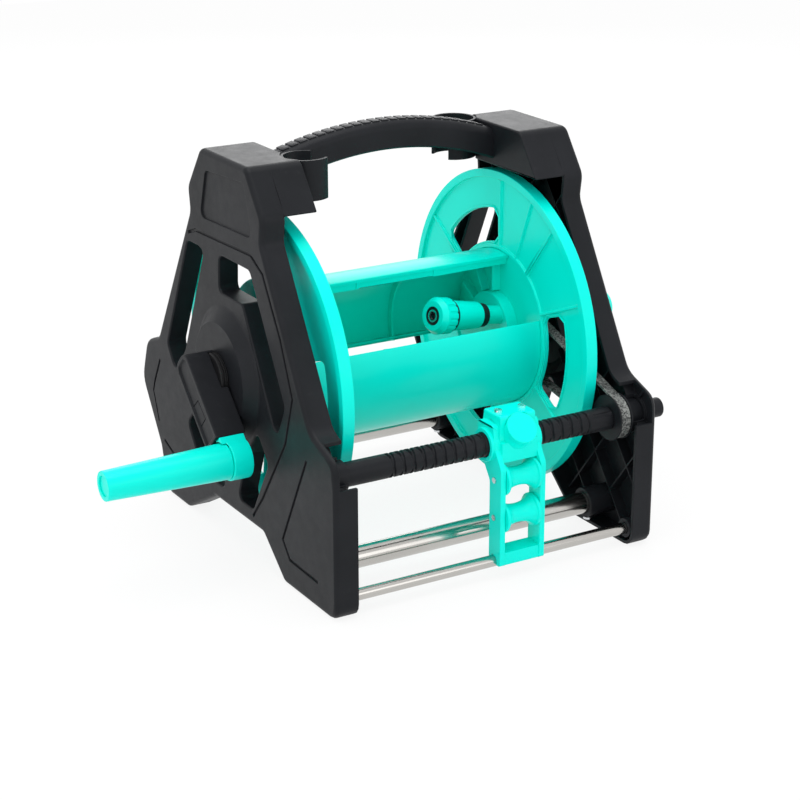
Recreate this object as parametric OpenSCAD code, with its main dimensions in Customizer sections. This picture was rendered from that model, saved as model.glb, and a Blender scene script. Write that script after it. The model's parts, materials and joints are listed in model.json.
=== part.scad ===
// Hose reel with a level-wind hose guide, standing on two moulded side panels.
// X runs along the drum axle, the hose guide is at the front (-Y) and Z is up from the floor.
// Shapes are drawn about the middle between the panels. placed() moves them so that the
// origin lies on the floor, under the middle of the whole reel with its crank and inlet.

/* [Frame] */
// Width over the outer faces of the side panels
frame_w = 310; // [300:1:330]
// Depth of a panel, measured in from its outer face
panel_t = 21; // [19:0.5:22]
// Wall thickness of the panel mouldings
wall = 3; // [2.5:0.1:3.5]
// Height of the flat top of the panels
head_z = 339; // [330:1:350]
// Height of the head at the top of a panel
head_h = 37; // [30:1:42]
// Half the depth of the flat top
head_half = 43; // [38:1:46]
// Half the depth of the head's foot
bulge_half = 70; // [66:1:74]
// Height of the neck under the head
neck_h = 21; // [16:1:26]
// Half the depth of the waist under the neck
waist_half = 67; // [62:1:69]
// How far the head reaches in from the outer face
head_reach = 50; // [40:1:54]
// Height where the legs end and the feet start
knee_z = 147; // [142:1:152]
// Half the depth at the knees
knee_half = 145; // [140:1:150]
// Reach of the front feet from the axle
front_reach = 184; // [184:1:190]
// Reach of the rear feet from the axle
rear_reach = 186; // [180:1:192]
// Length of a foot on the floor
foot_l = 90; // [80:1:100]
// Height of the cross member between the feet
arch_z = 31; // [26:1:34]

/* [Drum] */
// Height of the drum axle
axle_z = 154; // [151:1:158]
// Radius of the drum flanges
flange_r = 141; // [120:1:142]
// Distance between the inner faces of the flanges
drum_gap = 230; // [220:1:230]
// Thickness of a flange disc
flange_t = 3; // [2.5:0.1:3]
// How far a flange's lip stands out past the disc
lip_out = 5; // [3:0.5:5]
// Width of the lip round a flange
lip_w = 7; // [5:0.5:9]
// Outer radius of the winding core
core_r = 70; // [68:1:72]
// Wall thickness of the core shells
core_t = 3.5; // [3:0.1:4]
// Angle that each core shell covers
core_angle = 120; // [100:1:130]
// Angle of the front core shell's upper edge above the horizontal
core_top = 18; // [10:1:25]

/* [Rods] */
// Diameter of the two cross tubes
tube_d = 19; // [16:0.5:20]
// Wall thickness of the cross tubes
tube_wall = 1.2; // [1:0.1:1.5]
// Distance of the front cross tube behind the ends of the front feet
tube_inset = 58; // [54:1:64]
// Height of the cross tubes
tube_z = 24; // [23:0.5:26]
// Diameter of the guide rod
guide_d = 10; // [8:0.5:11]
// Distance of the guide rod behind the ends of the front feet
guide_inset = 12; // [11:0.5:14]
// Height of the guide rod
guide_z = 14.5; // [13.5:0.5:16]
// Diameter of the lead screw
screw_d = 20; // [18:0.5:21]
// Diameter of the lead screw's journals
journal_d = 16; // [14:0.5:16.5]
// Distance of the lead screw behind the ends of the front feet
screw_inset = 26; // [24:0.5:27]
// Height of the lead screw
screw_z = 113; // [111:1:115]
// Distance from groove to groove on the lead screw
groove_pitch = 9.5; // [8:0.1:12]

/* [Belt] */
// Pitch of the belt's teeth
belt_pitch = 5; // [4.6:0.1:5]
// Teeth of the pulley on the lead screw
screw_teeth = 22; // [18:1:22]
// Teeth of the pulley on the drum
drum_teeth = 36; // [32:1:38]
// Width of the belt
belt_w = 8.6; // [7:0.2:8.6]

/* [Handle] */
// Rise of the handle's top above the heads
handle_rise = 14; // [10:1:24]
// Thickness of the handle at mid length
handle_h = 25; // [20:1:27]
// Depth of the handle
handle_w = 24; // [20:1:26]
// Distance of the handle's middle behind the axle
handle_y = 9; // [7:0.5:11]
// Radius of the arch of the handle's top
handle_r = 327; // [310:1:340]
// Outer radius of a hose clip
clip_r = 20; // [18:0.5:21]
// Wall thickness of a hose clip
clip_t = 2.5; // [2:0.1:3]
// Height of a hose clip
clip_h = 34; // [30:1:35]
// How far a hose clip is let into its head
clip_sink = 6.5; // [5:0.5:8]
// Width of a hose clip's mouth, in degrees
clip_mouth = 90; // [60:1:110]

/* [Crank] */
// Throw of the crank, from the axle to the grip
crank_throw = 76; // [72:1:84]
// Angle of the crank below the horizontal
crank_angle = 45; // [0:1:90]
// Width of the crank arm
arm_w = 27.6; // [26:0.2:29]
// Thickness of the crank arm
arm_t = 26.7; // [24:0.1:30]
// Length of the grip
grip_l = 108; // [90:1:120]
// Diameter of the grip at the arm
grip_d = 31; // [29:0.5:32]
// Diameter of the grip at its free end
grip_end_d = 25; // [24:0.5:27]
// Diameter of the steel axle in the grip
grip_axle_d = 10; // [8:0.5:10]

/* [Hose guide] */
// Where the carriage stands, right of the middle
carriage_x = 22; // [-60:1:50]
// Width of the carriage
carriage_w = 44; // [40:1:48]
// Depth of the carriage's side plates
plate_d = 17; // [15:0.5:18]
// Thickness of the side plates
plate_t = 5; // [4:0.5:6]
// Diameter of the sleeve round the lead screw
sleeve_d = 30; // [29:0.5:32]
// Height of the upper hose roller
upper_roller_z = 86; // [84:0.5:86.5]
// Height of the lower hose roller
lower_roller_z = 53; // [50:0.5:55]
// Radius of a roller at its ends
roller_end_r = 14; // [12:0.5:14.5]
// Radius of a roller at its middle
roller_mid_r = 8; // [6:0.5:9]
// Diameter of the roller pins
pin_d = 5; // [4:0.5:6]

/* [Water path] */
// Radius of the hollow right axle
spindle_r = 14; // [13:0.5:15]
// Radius of the left drive spindle
drive_r = 12; // [11:0.5:13]
// Radius of the water way
water_r = 5.5; // [4:0.5:6]
// Radius of the spigots that carry the hose connectors
spigot_r = 8.5; // [8:0.1:9]
// Free length of the outlet spigot
spigot_l = 33; // [31:1:38]
// Tilt of the outlet, up and to the front, in degrees
outlet_tilt = 11; // [6:1:13]
// Length of a hose connector
connector_l = 60; // [58:1:64]
// Radius of a hose connector's nut
nut_r = 16; // [14.5:0.5:17]
// Radius of the hose barb's bore
barb_bore_r = 4; // [3:0.25:4.25]
// Reach of the inlet connector from the middle
inlet_reach = 232; // [231:1:240]

/* [Hidden] */
$fn = 64;

// Clearances: pieces that turn on each other, pieces pushed together, moving neighbours
run = 0.05;
fit = 0.1;
gap = 0.4;
// A cut runs this far past the face that it opens, and a joined shape sinks in by a tenth of it
past = 1;
sink = past / 10;

black = [0.17, 0.17, 0.18];
teal = [0.0, 0.83, 0.75];
steel = [0.76, 0.77, 0.79];
rubber = [0.06, 0.06, 0.06];

half = frame_w / 2;
rim_x = half - panel_t;
plate_x = half - wall;
guide_y = front_reach - guide_inset;
screw_y = front_reach - screw_inset;
head_x = half - head_reach;
bulge_z = head_z - head_h;
waist_z = bulge_z - neck_h;
flange_x = drum_gap / 2;
web_x = flange_x + flange_t;

// Side panel outline, front side first. Each entry is [y, z, corner radius].
front_sole_in = front_reach - foot_l;
rear_sole_out = rear_reach - 47;
rear_sole_in = rear_sole_out - foot_l / 2;
panel_outline = [
    [-head_half, head_z, 10], [-bulge_half, bulge_z, 14], [-waist_half, waist_z, 12],
    [-knee_half, knee_z, 22], [-front_reach, knee_z - 14, 16], [-front_reach, 0, 12],
    [-front_sole_in, 0, 8], [-front_sole_in + 37, arch_z, 10], [rear_sole_in - 58, arch_z, 12],
    [rear_sole_in, 0, 8], [rear_sole_out, 0, 12], [rear_sole_out + 11, 42, 16],
    [rear_reach, 98, 22], [rear_reach - 14, knee_z - 10, 16], [knee_half, knee_z, 16],
    [waist_half, waist_z, 12], [bulge_half, bulge_z, 14], [head_half, head_z, 10]
];
head_slope = (bulge_half - head_half) / head_h;

// Openings right through a panel, between its rim, the hub dish and the cross member
openings = [
    [[waist_half + 6, waist_z - 28, 6], [waist_half - 27, waist_z - 28, 6], [86, axle_z - 2, 8],
        [108, 124, 8], [knee_half - 21, knee_z, 8]],
    [[22 - waist_half, waist_z - 26, 7], [43 - knee_half, axle_z + 2, 8], [-86, axle_z - 30, 6],
        [-31, axle_z + 69, 6], [13, axle_z + 69, 6], [11, waist_z - 26, 7]],
    [[-52, axle_z - 36, 5], [-70, 96, 6], [-40, arch_z + 15, 6], [-12, arch_z + 15, 6],
        [-30, axle_z - 62, 6]],
    [[52, axle_z - 36, 5], [30, axle_z - 62, 6], [12, arch_z + 15, 6], [40, arch_z + 15, 6],
        [70, arch_z + 31, 8], [86, 84, 8]]
];

// Shallow marks in a panel's outer face: a field on the head and grooves beside the openings
mark_depth = 1.5;
mark_w = 2.4;
head_field = [
    [32, head_z - 17, 6], [-39, head_z - 13, 6], [-52, bulge_z - 19, 6], [45, bulge_z - 22, 6]
];
marks = [
    [[70, waist_z - 20], [56, waist_z - 15], [-48, waist_z - 12], [-69, waist_z - 23],
        [-97, axle_z + 58], [-116, axle_z + 13], [-102, axle_z - 30], [-58, 61], [-40, arch_z + 9]],
    [[-138, 122], [-94, 39], [-106, 25], [-154, 24]],
    [[142, 126], [155, 103]],
    [[139, 50], [117, 42]]
];

// Lattice ribs inside a panel
rib_t = 1.6;
rib_pitch = 46;
rib_slant = 38;
rib_depth = 10;

// Hub dish, bushes, sockets and bearing bosses of a panel
hub_base_r = 58;
hub_face_r = 46;
hub_rise = 9;
hub_face_x = half + hub_rise;
bush_r = max(spindle_r, drive_r) + 5;
bush_flange_r = bush_r + 4;
bush_flange_t = 3;
hub_boss_r = bush_r + 6;
hub_boss_x = plate_x - 9;
socket_r = tube_d / 2 + 3.5;
socket_x = rim_x - 11;
tube_screw_x = socket_x + 5.5;
guide_boss_r = guide_d / 2 + 3.5;
bearing_r = journal_d / 2 + 5;
bearing_boss_r = bearing_r + 3;
bearing_in = rim_x + 4;
bearing_out = plate_x - 2;
bar_end = plate_x - 0.3;

// Belt drive, in the plane across X
screw_at = [-screw_y, screw_z];
drum_at = [0, axle_z];
screw_pitch_r = screw_teeth * belt_pitch / (2 * PI);
drum_pitch_r = drum_teeth * belt_pitch / (2 * PI);
belt_in = 0.7;
belt_out = 1.3;
belt_gap = 0.3;
belt_side_gap = 0.5;
disc_t = 1.5;
disc_rise = 2.5;
belt_x = web_x + lip_out + 1.6;
belt_end = belt_x + belt_w;
disc_in = belt_x - belt_side_gap;
disc_out = belt_end + belt_side_gap;

// Handle arch
handle_z = head_z + handle_rise - handle_r;
under_r = handle_r - 42;
under_z = head_z + handle_rise - handle_h - under_r;
handle_end_z = (handle_z + sqrt(pow(handle_r, 2) - pow(head_x, 2)) + under_z
    + sqrt(pow(under_r, 2) - pow(head_x, 2))) / 2;
handle_screw_y = handle_w / 4;
handle_wall = 12;

// Hose clips: the left one before the handle, the right one behind it
clip_x = head_x - clip_r + clip_sink;
clip_back = handle_w / 2 + clip_r + 0.5;
clip_base = head_z - 1 - clip_h;
clip_tab = clip_r + 1;
clip_tab_t = 2.5;
clip_screw_r = 1.6;
clip_screw_y = clip_tab - 3.5;
clip_screw_z = [12, 24];

// Drum details
core_screw_r = core_r - core_t - 7.5;
core_screw_spread = core_angle / 3;
core_lip = 6;
core_rib_t = 2.5;
kidney_in = core_r + 6;
kidney_out = core_r + 36;
kidney_span = 50;
hub_pad_r = 30;
hub_pad_t = 6;
hub_screw_r = 24;
gusset_h = 8;

// Crank
arm_in = hub_face_x + 1.3;
arm_out = arm_in + arm_t;
arm_back = 22;
arm_end = crank_throw - 16;
arm_wall = 2.6;
collar_r = 21;
collar_out = arm_in + 5.7;
shaft_r = drive_r - 3;
shaft_out = arm_out - 5;
grip_in = arm_out - 7;
grip_out = grip_in + grip_l;
socket_in = arm_in + 2;
socket_r2 = grip_d / 2 + 1.5;
tongue_l = 12;
axle_head_r = grip_axle_d / 2 + 2;
axle_head_t = 3;
plug_r = grip_end_d / 2 - 4;
recess_l = 14;

// Hose guide
plate_front = guide_y + 10;
plate_back = plate_front - plate_d;
carriage_foot = guide_z - 2.5;
cross_bar_z = lower_roller_z - roller_end_r - 4;
block_top = screw_z + 27;
block_front = screw_y + 14;
block_back = screw_y - 12;
follower_tilt = 40;
follower_boss_r = 13.5;
follower_boss_l = 23;
follower_cap_t = 4;
follower_r = 4;

// Water path: the manifold on the right flange, the outlet's root and direction
manifold_r = hub_pad_r + 2;
manifold_t = 11;
cavity_r = spindle_r + 4;
outlet_root = [web_x - 1.3, -12.3, axle_z + 12.3];
inlet_x = inlet_reach - connector_l;

shift_x = (grip_out - inlet_reach) / 2;

// Moves a shape from the middle between the panels to its place over the origin
module placed() translate([shift_x, 0, 0]) children();

// Puts a shape at a place across X
module at(y, z) translate([0, y, z]) children();

// The left-hand copy of a right-hand shape
module mirrored() mirror([1, 0, 0]) children();

// Round bars along X, plain, hollow and tapered
module bar_x(from, to, r) translate([from, 0, 0]) rotate([0, 90, 0]) cylinder(h = to - from, r = r);
module cone_x(from, to, r1, r2) {
    translate([from, 0, 0]) rotate([0, 90, 0]) cylinder(h = to - from, r1 = r1, r2 = r2);
}
module tube_x(from, to, r, bore) difference() {
    bar_x(from, to, r);
    bar_x(from - past, to + past, bore);
}

// A flat shape, drawn as [y, z], given its thickness along X
module slab_x(from, to) translate([from, 0, 0]) rotate([90, 0, 90]) linear_extrude(to - from) children();

// Places shapes that are drawn towards the front: 0 is level, 90 is straight up
module round_axle(angle) at(0, axle_z) rotate([-angle, 0, 0]) children();

// A round bar and a screw with a round head, along X, at a radius and an angle from the axle
module pin_at(angle, r, from, to, pin_r) round_axle(angle) translate([0, -r, 0]) bar_x(from, to, pin_r);

// Part of a ring about the axle, from the angle top down through a span
module arc_x(from, to, r_in, r_out, top, span) {
    at(0, axle_z) translate([from, 0, 0]) rotate([0, 90, 0]) rotate([0, 0, -top - 90])
        rotate_extrude(angle = span, $fn = 96) translate([r_in, 0]) square([r_out - r_in, to - from]);
}

// Where a cross tube lies: -1 is the front one
function tube_at(side) = side < 0 ? tube_inset - front_reach : rear_reach - tube_inset - 2;

function flat(p) = [p[0], p[1]];
function unit(v) = v / norm(v);

// The arc that rounds corner b between its neighbours a and c
function corner(a, b, c, r, steps) =
    let (
        u = unit(flat(a) - flat(b)),
        v = unit(flat(c) - flat(b)),
        turn = acos(u * v),
        reach = min(r / tan(turn / 2), 0.49 * norm(flat(a) - flat(b)), 0.49 * norm(flat(c) - flat(b))),
        radius = reach * tan(turn / 2),
        centre = flat(b) + unit(u + v) * radius / sin(turn / 2),
        start = flat(b) + u * reach - centre,
        end = flat(b) + v * reach - centre,
        from = atan2(start[1], start[0]),
        raw = atan2(end[1], end[0]) - from,
        sweep = raw > 180 ? raw - 360 : raw < -180 ? raw + 360 : raw
    )
    [for (i = [0:steps]) centre + radius * [cos(from + sweep * i / steps), sin(from + sweep * i / steps)]];

// An outline with all its corners rounded
function rounded(points, steps = 4) =
    let (n = len(points))
    [for (i = [0:n - 1]) each corner(points[(i + n - 1) % n], points[i], points[(i + 1) % n], points[i][2], steps)];

// Twice the signed area of an outline, which tells which way round it runs
function winding(points) =
    let (n = len(points), all = [for (i = [0:n - 1])
        points[i][0] * points[(i + 1) % n][1] - points[(i + 1) % n][0] * points[i][1]])
    all * [for (i = all) 1];

// An outline drawn in by d, or out where d is negative
function inset(points, d) =
    let (n = len(points), side = sign(winding(points)))
    [for (i = [0:n - 1])
        let (
            b = flat(points[i]),
            e1 = unit(b - flat(points[(i + n - 1) % n])),
            e2 = unit(flat(points[(i + 1) % n]) - b),
            n1 = side * [-e1[1], e1[0]],
            n2 = side * [-e2[1], e2[0]],
            bend = side * (e1[0] * e2[1] - e1[1] * e2[0]),
            moved = b + (n1 + n2) * d / (1 + n1 * n2)
        )
        [moved[0], moved[1], max(0.5, points[i][2] - sign(bend) * d)]];

module outline(points) polygon(rounded(points));

// A groove line through points, with mitred bends
function mitre(points, i) =
    let (
        e1 = unit(points[max(i, 1)] - points[max(i, 1) - 1]),
        e2 = unit(points[min(i + 1, len(points) - 1)] - points[min(i, len(points) - 2)]),
        n1 = [-e1[1], e1[0]],
        n2 = [-e2[1], e2[0]]
    )
    (n1 + n2) / (1 + n1 * n2);

module stroke(points, width) polygon([
    for (i = [0:len(points) - 1]) points[i] + mitre(points, i) * width / 2,
    for (i = [len(points) - 1:-1:0]) points[i] - mitre(points, i) * width / 2
]);

// Side panel, drawn as the right one; end tells on which side of the handle its hose clip is,
// and a shaft passes through it where shaft_r is more than nothing
module side_panel(end, shaft_r) difference() {
    union() {
        panel_shell();
        panel_head();
        panel_lattice();
        panel_bosses();
    }
    for (shape = openings) slab_x(0, half + past) outline(shape);
    slab_x(half - mark_depth, half + past) outline(head_field);
    for (line = marks) slab_x(half - mark_depth, half + past) stroke(line, mark_w);
    panel_bores();
    if (shaft_r > 0) at(-screw_y, screw_z) bar_x(rim_x, half + past, shaft_r);
    head_bores(end);
}

module panel_shell() {
    difference() {
        slab_x(rim_x, half) outline(panel_outline);
        slab_x(0, plate_x) outline(inset(panel_outline, wall));
        at(0, axle_z) cone_x(plate_x - sink, hub_face_x - wall, hub_base_r - wall, hub_face_r - wall);
    }
    difference() {
        at(0, axle_z) cone_x(half - sink, hub_face_x, hub_base_r, hub_face_r);
        at(0, axle_z) cone_x(plate_x - sink, hub_face_x - wall, hub_base_r - wall, hub_face_r - wall);
    }
    for (shape = openings) intersection() {
        slab_x(rim_x + 3, plate_x + sink) outline(inset(shape, -wall));
        slab_x(0, half) outline(inset(panel_outline, sink));
    }
}

// The head reaches in over the drum as a box that is open underneath
module panel_head() {
    drop = 3 * wall;
    box = [
        [-head_half, head_z, 10], [-bulge_half, bulge_z, 1], [bulge_half, bulge_z, 1], [head_half, head_z, 10]
    ];
    hollow = [
        [-head_half, head_z, 10], [-bulge_half - drop * head_slope, bulge_z - drop, 1],
        [bulge_half + drop * head_slope, bulge_z - drop, 1], [head_half, head_z, 10]
    ];
    difference() {
        slab_x(head_x, rim_x + sink) outline(box);
        slab_x(head_x + wall, rim_x + past) outline(inset(hollow, wall));
    }
}

module panel_lattice() {
    count = ceil(front_reach / rib_pitch) + 1;
    slab_x(plate_x - rib_depth, plate_x + sink) intersection() {
        outline(inset(panel_outline, wall / 2));
        difference() {
            for (way = [-1, 1], i = [-count:count])
                translate([i * rib_pitch, axle_z]) rotate(way * rib_slant) square([rib_t, 3 * head_z], center = true);
            translate(drum_at) circle(hub_base_r - 1);
        }
    }
}

module panel_bosses() {
    at(0, axle_z) bar_x(hub_boss_x, hub_face_x - sink, hub_boss_r);
    for (side = [-1, 1]) at(tube_at(side), tube_z) {
        bar_x(socket_x, plate_x + sink, socket_r);
        translate([tube_screw_x, 0, -socket_r - 1]) cylinder(h = socket_r - tube_d / 2, r = 4.5);
    }
    at(-guide_y, guide_z) bar_x(rim_x, plate_x + sink, guide_boss_r);
    at(-screw_y, screw_z) bar_x(bearing_in, plate_x + sink, bearing_boss_r);
}

module panel_bores() {
    at(0, axle_z) bar_x(hub_boss_x - past, hub_face_x + past, bush_r + fit);
    for (side = [-1, 1]) at(tube_at(side), tube_z) {
        bar_x(socket_x - past, plate_x, tube_d / 2 + fit);
        translate([tube_screw_x, 0, -socket_r - past - 1]) cylinder(h = socket_r, r = 2 + fit);
    }
    at(-guide_y, guide_z) bar_x(rim_x - past, plate_x, guide_d / 2 + fit);
    at(-screw_y, screw_z) {
        bar_x(rim_x - past, bearing_out, bearing_r + fit);
        translate([rim_x - past, -front_reach, -2])
            cube([bearing_out - rim_x + past, front_reach, 4 * bearing_r]);
    }
}

// Screw holes in a head, and the recess that its hose clip is pushed up into
module head_bores(end) {
    for (side = [-1, 1]) at(handle_y + side * handle_screw_y, handle_end_z)
        bar_x(head_x - past, head_x + wall + past, 2 + fit);
    translate([clip_x, handle_y + end * clip_back, bulge_z - past])
        cylinder(h = head_h + 2 * past, r = clip_r + fit);
    for (z = clip_screw_z) at(handle_y + end * (clip_back - clip_screw_y), clip_base + z)
        bar_x(head_x + wall / 4, head_x + wall + past, clip_screw_r + fit);
}

module left_panel() color(black) placed() mirrored() side_panel(-1, 0);
module right_panel() color(black) placed() side_panel(1, tail_r + gap);

// Carrying handle: an arch between the heads, a channel from underneath
module carry_handle() {
    pitch = 7.2;
    count = floor(head_x * 1.8 / pitch / 2);
    color(black) placed() translate([0, handle_y, 0]) difference() {
        handle_arch(handle_w, 0, 0);
        handle_arch(handle_w - 2 * wall, wall, handle_wall);
        for (i = [-count:count])
            translate([0, -handle_w, handle_z]) rotate([0, i * pitch / handle_r * 180 / PI, 0])
                translate([-0.8, 0, handle_r - 1]) cube([1.6, 2 * handle_w, 2 * past]);
        for (side = [-1, 1], end = [-1, 1])
            translate([end * head_x, side * handle_screw_y, handle_end_z]) bar_x(-handle_wall, handle_wall, 2 + fit);
    }
}

// The arch, or with a skin and an end wall the channel inside it
module handle_arch(width, skin, end_wall) {
    reach = head_x - end_wall;
    low = under_z - past;
    translate([0, width / 2, 0]) rotate([90, 0, 0]) linear_extrude(width) difference() {
        intersection() {
            translate([0, handle_z]) circle(handle_r - skin, $fn = 360);
            translate([-reach, bulge_z]) square([2 * reach, head_h + handle_rise + past]);
        }
        if (skin == 0) translate([0, under_z]) circle(under_r, $fn = 360);
    }
}

module handle_screws() color(steel) placed() for (side = [-1, 1], end = [-1, 1])
    scale_x(end) at(handle_y + side * handle_screw_y, handle_end_z) {
        bar_x(head_x - handle_wall + 3, head_x + wall + sink, 2);
        bar_x(head_x + wall, head_x + wall + 2.5, 4);
    }

// Keeps a shape, or mirrors it to the other side
module scale_x(end) if (end > 0) children(); else mirror([1, 0, 0]) children();

// Hose clip, drawn about its own axis with its mouth towards -X. Its tab lies inside the
// head, on the handle's side of the clip, which is side
module clip(side) {
    wedge = 2 * clip_r;
    tab_in = head_x - clip_x + wall + fit;
    difference() {
        union() {
            cylinder(h = clip_h, r = clip_r);
            translate([tab_in, side * clip_tab / 2 - clip_tab / 2, 2]) cube([clip_tab_t, clip_tab, clip_h - 8]);
        }
        translate([0, 0, -past]) cylinder(h = clip_h + 2 * past, r = clip_r - clip_t);
        translate([0, 0, -past]) linear_extrude(clip_h + 2 * past)
            polygon([[0, 0], wedge * [-cos(clip_mouth / 2), sin(clip_mouth / 2)], [-2 * wedge, 0],
                wedge * [-cos(clip_mouth / 2), -sin(clip_mouth / 2)]]);
        for (z = clip_screw_z) translate([0, side * clip_screw_y, z])
            bar_x(tab_in - past, tab_in + clip_tab_t + past, clip_screw_r + fit);
    }
}

module left_clip() color(black) placed() translate([-clip_x, handle_y - clip_back, clip_base])
    mirrored() clip(1);
module right_clip() color(black) placed() translate([clip_x, handle_y + clip_back, clip_base]) clip(-1);

module clip_screws() color(steel) placed() for (end = [-1, 1], z = clip_screw_z)
    scale_x(end) at(handle_y + end * (clip_back - clip_screw_y), clip_base + z) {
        bar_x(head_x + wall / 3, head_x + wall + fit + clip_tab_t + sink, clip_screw_r);
        bar_x(head_x + wall + fit + clip_tab_t, head_x + wall + clip_tab_t + 2, 3);
    }

// Cross tubes, drilled at both ends for their screws
module cross_tube(side) at(tube_at(side), tube_z) difference() {
    tube_x(-bar_end, bar_end, tube_d / 2, tube_d / 2 - tube_wall);
    for (end = [-1, 1]) translate([end * tube_screw_x, 0, -tube_d]) cylinder(h = tube_d, r = 2 + fit);
}

module front_tube() color(steel) placed() cross_tube(-1);
module rear_tube() color(steel) placed() cross_tube(1);

module tube_screws() color(steel) placed() for (side = [-1, 1], end = [-1, 1])
    translate([end * tube_screw_x, tube_at(side), tube_z - socket_r - 1]) {
        translate([0, 0, -2]) cylinder(h = 2, r = 3.8);
        translate([0, 0, -sink]) cylinder(h = socket_r - tube_d / 2 + tube_wall + 3, r = 2);
    }

module guide_rod() color(steel) placed() at(-guide_y, guide_z) bar_x(-bar_end, bar_end, guide_d / 2);

// Hub bushes, pushed in from the drum's side up to their flange
module hub_bush(bore) at(0, axle_z) difference() {
    union() {
        bar_x(hub_boss_x - sink, hub_face_x, bush_r);
        bar_x(hub_boss_x - bush_flange_t, hub_boss_x, bush_flange_r);
    }
    bar_x(hub_boss_x - 2 * bush_flange_t, hub_face_x + past, bore);
}

module left_hub_bush() color(black) placed() mirrored() hub_bush(drive_r + run);
module right_hub_bush() color(black) placed() hub_bush(spindle_r + run);

module screw_bearing(from) at(-screw_y, screw_z) tube_x(from, bearing_out, bearing_r, journal_d / 2 + run);

module left_screw_bearing() color(black) placed() mirrored() screw_bearing(rim_x);
module right_screw_bearing() color(black) placed() screw_bearing(bearing_in);

// The loop of a belt round both pulleys, at a distance from the pitch line
module belt_loop(out) {
    r1 = screw_pitch_r + out;
    r2 = drum_pitch_r + out;
    way = unit(drum_at - screw_at);
    side = [-way[1], way[0]];
    lean = acos((r1 - r2) / norm(drum_at - screw_at));
    up = way * cos(lean) + side * sin(lean);
    down = way * cos(lean) - side * sin(lean);
    translate(screw_at) circle(r1);
    translate(drum_at) circle(r2);
    polygon([screw_at + r1 * up, drum_at + r2 * up, drum_at + r2 * down, screw_at + r1 * down]);
}

module drive_belt() color(rubber) placed() difference() {
    slab_x(belt_x, belt_end) belt_loop(belt_out);
    slab_x(belt_x - past, belt_end + past) belt_loop(-belt_in);
}

// Drum flange, drawn as the right one
module flange(bore) {
    kidneys = [-6, 117, 237];
    difference() {
        union() {
            at(0, axle_z) {
                bar_x(flange_x, web_x, flange_r - 1);
                tube_x(flange_x - flange_t, web_x + lip_out, flange_r, flange_r - lip_w);
            }
            for (a = kidneys, side = [-1, 1]) flange_rib(a + side * (kidney_span / 2 + 3), core_r + 1);
            for (a = [52, 68]) flange_rib(a, core_r + 1);
            at(0, axle_z) tube_x(flange_x - 2, flange_x + sink, core_r + 4, core_r + 0.3);
        }
        for (a = kidneys)
            arc_x(flange_x - 3, web_x + past, kidney_in, kidney_out, a + kidney_span / 2, kidney_span);
        at(0, axle_z) bar_x(0, half, bore);
        for (a = core_screw_angles()) pin_at(a, core_screw_r, 0, half, 2 + fit);
        for (i = [0:2]) pin_at(105 + 120 * i, hub_screw_r, 0, half, 2 + fit);
    }
}

// Low rib across a flange's inner face, out from a radius to the lip
module flange_rib(angle, from) round_axle(angle)
    translate([flange_x - 2, -flange_r + lip_w - 1, -1.2]) cube([2 + sink, flange_r - lip_w - from + 1, 2.4]);

// Where the core shells are screwed on, counted from their own middles
function core_screw_angles() = [
    for (middle = [core_top - core_angle / 2, core_top + 180 - core_angle / 2], side = [-1, 1])
        middle + side * core_screw_spread
];

module left_flange() color(teal) placed() mirrored() {
    flange(drive_r + fit);
    difference() {
        at(0, axle_z) tube_x(flange_x - hub_pad_t, flange_x + sink, hub_pad_r, drive_r + fit);
        for (i = [0:2]) pin_at(105 + 120 * i, hub_screw_r, 0, half, 2 + fit);
    }
}

// The right flange has gussets round the manifold, clear of the outlet
module right_flange() color(teal) placed() {
    flange(spindle_r + fit);
    difference() {
        for (a = [0:30:330]) if (abs(a - 45) > 20) round_axle(a)
            translate([flange_x - gusset_h, -core_r + core_t + core_lip + 3, -1.2])
                cube([gusset_h + sink, core_r - core_t - core_lip - 3 - manifold_r - 1, 2.4]);
        for (a = core_screw_angles()) pin_at(a, core_screw_r, 0, half, 6);
    }
}

// Core shell: a third of a tube, stiffened by edge lips and ribs inside
module core_shell(top) difference() {
    inner = core_r - core_t;
    edge = 2.5;
    union() {
        arc_x(-flange_x, flange_x, inner, core_r, top, core_angle);
        for (a = [top - edge / 2, top - core_angle + edge * 3 / 2])
            arc_x(-flange_x, flange_x, inner - core_lip, inner + sink, a, edge);
        for (x = [-flange_x / 3, flange_x / 3])
            arc_x(x, x + core_rib_t, inner - core_lip, inner + sink, top, core_angle);
        for (side = [-1, 1], end = [-1, 1]) scale_x(end)
            pin_at(top - core_angle / 2 + side * core_screw_spread, core_screw_r, flange_x - 16, flange_x, 5);
        for (side = [-1, 1], end = [-1, 1]) scale_x(end)
            round_axle(top - core_angle / 2 + side * core_screw_spread)
                translate([flange_x - 16, -inner - sink, -1.5]) cube([16, inner - core_screw_r, 3]);
    }
    for (side = [-1, 1], end = [-1, 1]) scale_x(end)
        pin_at(top - core_angle / 2 + side * core_screw_spread, core_screw_r, flange_x - 13, flange_x + past,
            2 + fit);
}

module front_core() color(teal) placed() core_shell(core_top);
module rear_core() color(teal) placed() core_shell(core_top + 180);

// Screw along X at an angle round the axle, head outwards
module hub_screw(angle, r, tip, seat, head_r) {
    pin_at(angle, r, tip, seat + sink, 2);
    pin_at(angle, r, seat, seat + 2.2, head_r);
}

module core_screws() color(steel) placed() for (a = core_screw_angles(), end = [-1, 1])
    scale_x(end) hub_screw(a, core_screw_r, flange_x - 11, web_x, 4);

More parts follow.
